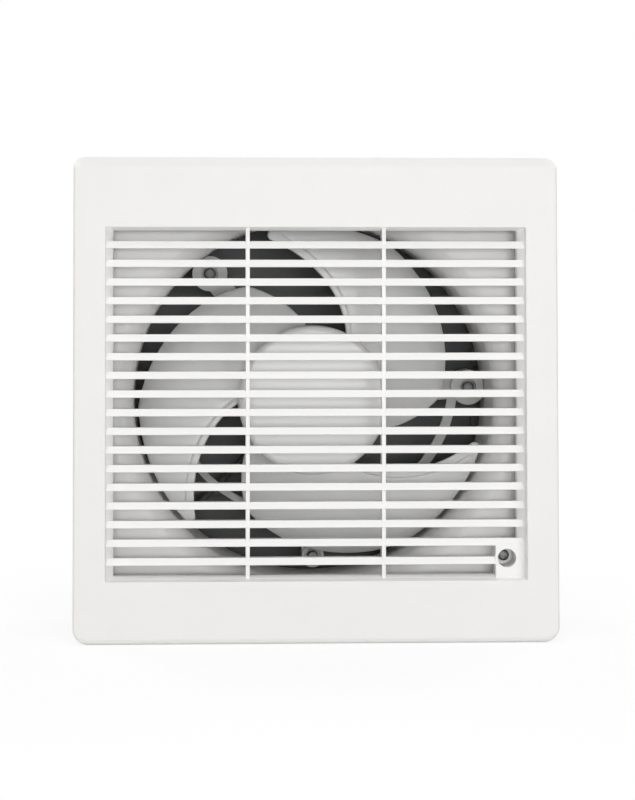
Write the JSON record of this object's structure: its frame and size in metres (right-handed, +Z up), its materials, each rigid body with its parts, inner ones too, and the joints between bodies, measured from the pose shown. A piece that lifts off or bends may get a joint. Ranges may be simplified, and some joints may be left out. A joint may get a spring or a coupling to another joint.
{
  "type": "window exhaust fan",
  "caption": "Square wall or window exhaust fan with a slatted front panel, a swept impeller, a rear motor and a gravity shutter.",
  "frame": {"origin": "on the fan axis, in the plane of the wall's room side, which is the back face of the flange", "axes": "+Z up, +Y through the wall to the outdoors, +X to the right as seen from the room"},
  "size_m": [0.34, 0.1613, 0.34],
  "materials": {
    "panel_white": "white moulded ABS with a soft gloss and a very fine spark texture",
    "housing_white": "white moulded plastic, smooth",
    "bracket_white": "white moulded plastic, smooth",
    "impeller_white": "pale glossy moulded plastic",
    "shutter_grey": "grey moulded plastic, satin",
    "black_plastic": "black moulded plastic, satin",
    "zinc_steel": "bright zinc-plated steel",
    "ground_steel": "ground bar steel",
    "pressed_steel": "pressed galvanised sheet steel",
    "laminated_steel": "stacked electrical steel sheets",
    "copper_wire": "enamelled copper wire, wound and tied",
    "bronze_bush": "sintered bronze",
    "black_rubber": "soft black rubber"
  },
  "bodies": {
    "housing": {"base_housing": "housing_white", "motor_bracket": "bracket_white", "shutter_frame": "shutter_grey", "terminal_cover": "black_plastic", "capacitor": "black_plastic", "terminal_block": "bracket_white", "capacitor_strap": "zinc_steel", "motor_front_shell": "pressed_steel", "motor_rear_shell": "pressed_steel", "stator_core": "laminated_steel", "front_winding": "copper_wire", "rear_winding": "copper_wire", "front_bush": "bronze_bush", "rear_bush": "bronze_bush", "motor_damper": "black_rubber", "motor_lead": "black_rubber", "cable_grommet": "black_rubber", "bracket_screw_right": "zinc_steel", "bracket_screw_upper": "zinc_steel", "bracket_screw_lower": "zinc_steel", "motor_bolt_1": "zinc_steel", "shutter_screw_1": "zinc_steel", "motor_bolt_2": "zinc_steel", "shutter_screw_2": "zinc_steel", "motor_bolt_3": "zinc_steel", "shutter_screw_3": "zinc_steel", "motor_bolt_4": "zinc_steel", "shutter_screw_4": "zinc_steel"},
    "panel": {"front_panel": "panel_white", "panel_screw": "zinc_steel", "panel_screw_retainer": "black_plastic"},
    "impeller": {"impeller": "impeller_white", "hub_cap": "impeller_white", "shaft_nut": "zinc_steel", "shaft_washer": "zinc_steel", "shaft": "ground_steel", "drive_pin": "ground_steel", "rotor": "laminated_steel"},
    "flap_1": {"shutter_flap_1": "shutter_grey"},
    "flap_2": {"shutter_flap_2": "shutter_grey"},
    "flap_3": {"shutter_flap_3": "shutter_grey"},
    "flap_4": {"shutter_flap_4": "shutter_grey"},
    "flap_5": {"shutter_flap_5": "shutter_grey"},
    "link": {"shutter_link": "black_plastic"}
  },
  "joints": [
    {"name": "impeller_spin", "type": "hinge", "parent": "housing", "child": "impeller", "pos_m": [0, 0, 0], "axis": [0, -1, 0], "continuous": true},
    {"name": "panel_tilt", "type": "hinge", "parent": "housing", "child": "panel", "pos_m": [0, -0.0054, 0.1675], "axis": [-1, 0, 0], "range_deg": [0, 40]},
    {"name": "flap_1_swing", "type": "hinge", "parent": "housing", "child": "flap_1", "pos_m": [0, 0.1063, 0.129], "axis": [1, 0, 0], "range_deg": [0, 70]},
    {"name": "flap_2_swing", "type": "hinge", "parent": "housing", "child": "flap_2", "pos_m": [0, 0.1063, 0.077], "axis": [1, 0, 0], "range_deg": [0, 70]},
    {"name": "flap_3_swing", "type": "hinge", "parent": "housing", "child": "flap_3", "pos_m": [0, 0.1063, 0.025], "axis": [1, 0, 0], "range_deg": [0, 70]},
    {"name": "flap_4_swing", "type": "hinge", "parent": "housing", "child": "flap_4", "pos_m": [0, 0.1063, -0.027], "axis": [1, 0, 0], "range_deg": [0, 70]},
    {"name": "flap_5_swing", "type": "hinge", "parent": "housing", "child": "flap_5", "pos_m": [0, 0.1063, -0.079], "axis": [1, 0, 0], "range_deg": [0, 70]},
    {"name": "link_swing", "type": "hinge", "parent": "flap_1", "child": "link", "pos_m": [-0.1365, 0.11449, 0.12326], "axis": [1, 0, 0], "range_deg": [-70, 0]}
  ],
  "couplings": [
    {"joint": "flap_2_swing", "follows": "flap_1_swing", "ratio": 1},
    {"joint": "flap_3_swing", "follows": "flap_1_swing", "ratio": 1},
    {"joint": "flap_4_swing", "follows": "flap_1_swing", "ratio": 1},
    {"joint": "flap_5_swing", "follows": "flap_1_swing", "ratio": 1},
    {"joint": "link_swing", "follows": "flap_1_swing", "ratio": -1}
  ]
}
